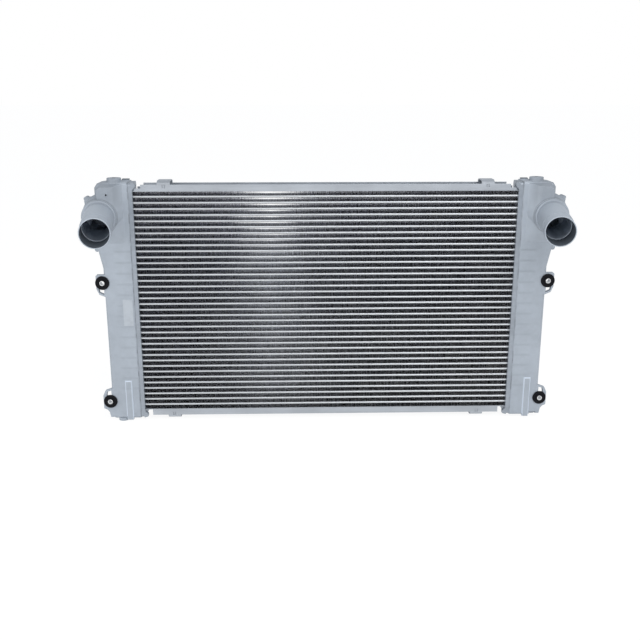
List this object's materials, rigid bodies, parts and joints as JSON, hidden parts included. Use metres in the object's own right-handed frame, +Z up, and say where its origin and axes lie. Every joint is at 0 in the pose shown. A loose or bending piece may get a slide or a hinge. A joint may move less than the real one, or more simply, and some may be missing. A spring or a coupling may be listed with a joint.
{
  "type": "charge air cooler",
  "caption": "Wide flat air-to-air intercooler: a core of flat tubes and fins between cast end tanks, each with a forward hose stub and rubber-bushed mounting ears.",
  "frame": {"origin": "midway between the four mounting bushes, in the plane of their sleeves' front ends", "axes": "X across the cooler from the left tank to the right tank, Y from the hose side to the far side, Z up"},
  "size_m": [1.266, 0.2656, 0.669],
  "materials": {
    "tank_casting": "sand cast, matte",
    "tube_metal": "brazed sheet, satin",
    "fin_foil": "thin foil, in deep shade",
    "header_metal": "brazed sheet, satin",
    "plate_metal": "brazed sheet, satin",
    "clip_metal": "folded sheet, satin",
    "bush_rubber": "moulded, matte",
    "sleeve_steel": "turned, plated",
    "label_film": "blank paper or film, matte"
  },
  "bodies": {
    "root": {"air_tube_01": "tube_metal", "air_tube_02": "tube_metal", "air_tube_03": "tube_metal", "air_tube_04": "tube_metal", "air_tube_05": "tube_metal", "air_tube_06": "tube_metal", "air_tube_07": "tube_metal", "air_tube_08": "tube_metal", "air_tube_09": "tube_metal", "air_tube_10": "tube_metal", "air_tube_11": "tube_metal", "air_tube_12": "tube_metal", "air_tube_13": "tube_metal", "air_tube_14": "tube_metal", "air_tube_15": "tube_metal", "air_tube_16": "tube_metal", "air_tube_17": "tube_metal", "air_tube_18": "tube_metal", "air_tube_19": "tube_metal", "air_tube_20": "tube_metal", "air_tube_21": "tube_metal", "air_tube_22": "tube_metal", "air_tube_23": "tube_metal", "air_tube_24": "tube_metal", "air_tube_25": "tube_metal", "air_tube_26": "tube_metal", "air_tube_27": "tube_metal", "air_tube_28": "tube_metal", "air_tube_29": "tube_metal", "air_tube_30": "tube_metal", "air_tube_31": "tube_metal", "air_tube_32": "tube_metal", "air_tube_33": "tube_metal", "air_tube_34": "tube_metal", "air_tube_35": "tube_metal", "air_tube_36": "tube_metal", "air_tube_37": "tube_metal", "turbulators": "tube_metal", "fin_rows": "fin_foil", "header_plate_left": "header_metal", "header_plate_right": "header_metal", "hose_stub_left": "tank_casting", "hose_stub_right": "tank_casting", "end_tank_left": "tank_casting", "end_tank_right": "tank_casting", "side_plate_top": "plate_metal", "side_plate_bottom": "plate_metal", "clip_top_left": "clip_metal", "clip_top_right": "clip_metal", "clip_bottom_left": "clip_metal", "clip_bottom_right": "clip_metal", "bush_top_left": "bush_rubber", "bush_top_right": "bush_rubber", "bush_bottom_left": "bush_rubber", "bush_bottom_right": "bush_rubber", "sleeve_top_left": "sleeve_steel", "sleeve_top_right": "sleeve_steel", "sleeve_bottom_left": "sleeve_steel", "sleeve_bottom_right": "sleeve_steel", "label": "label_film"}
  },
  "joints": []
}
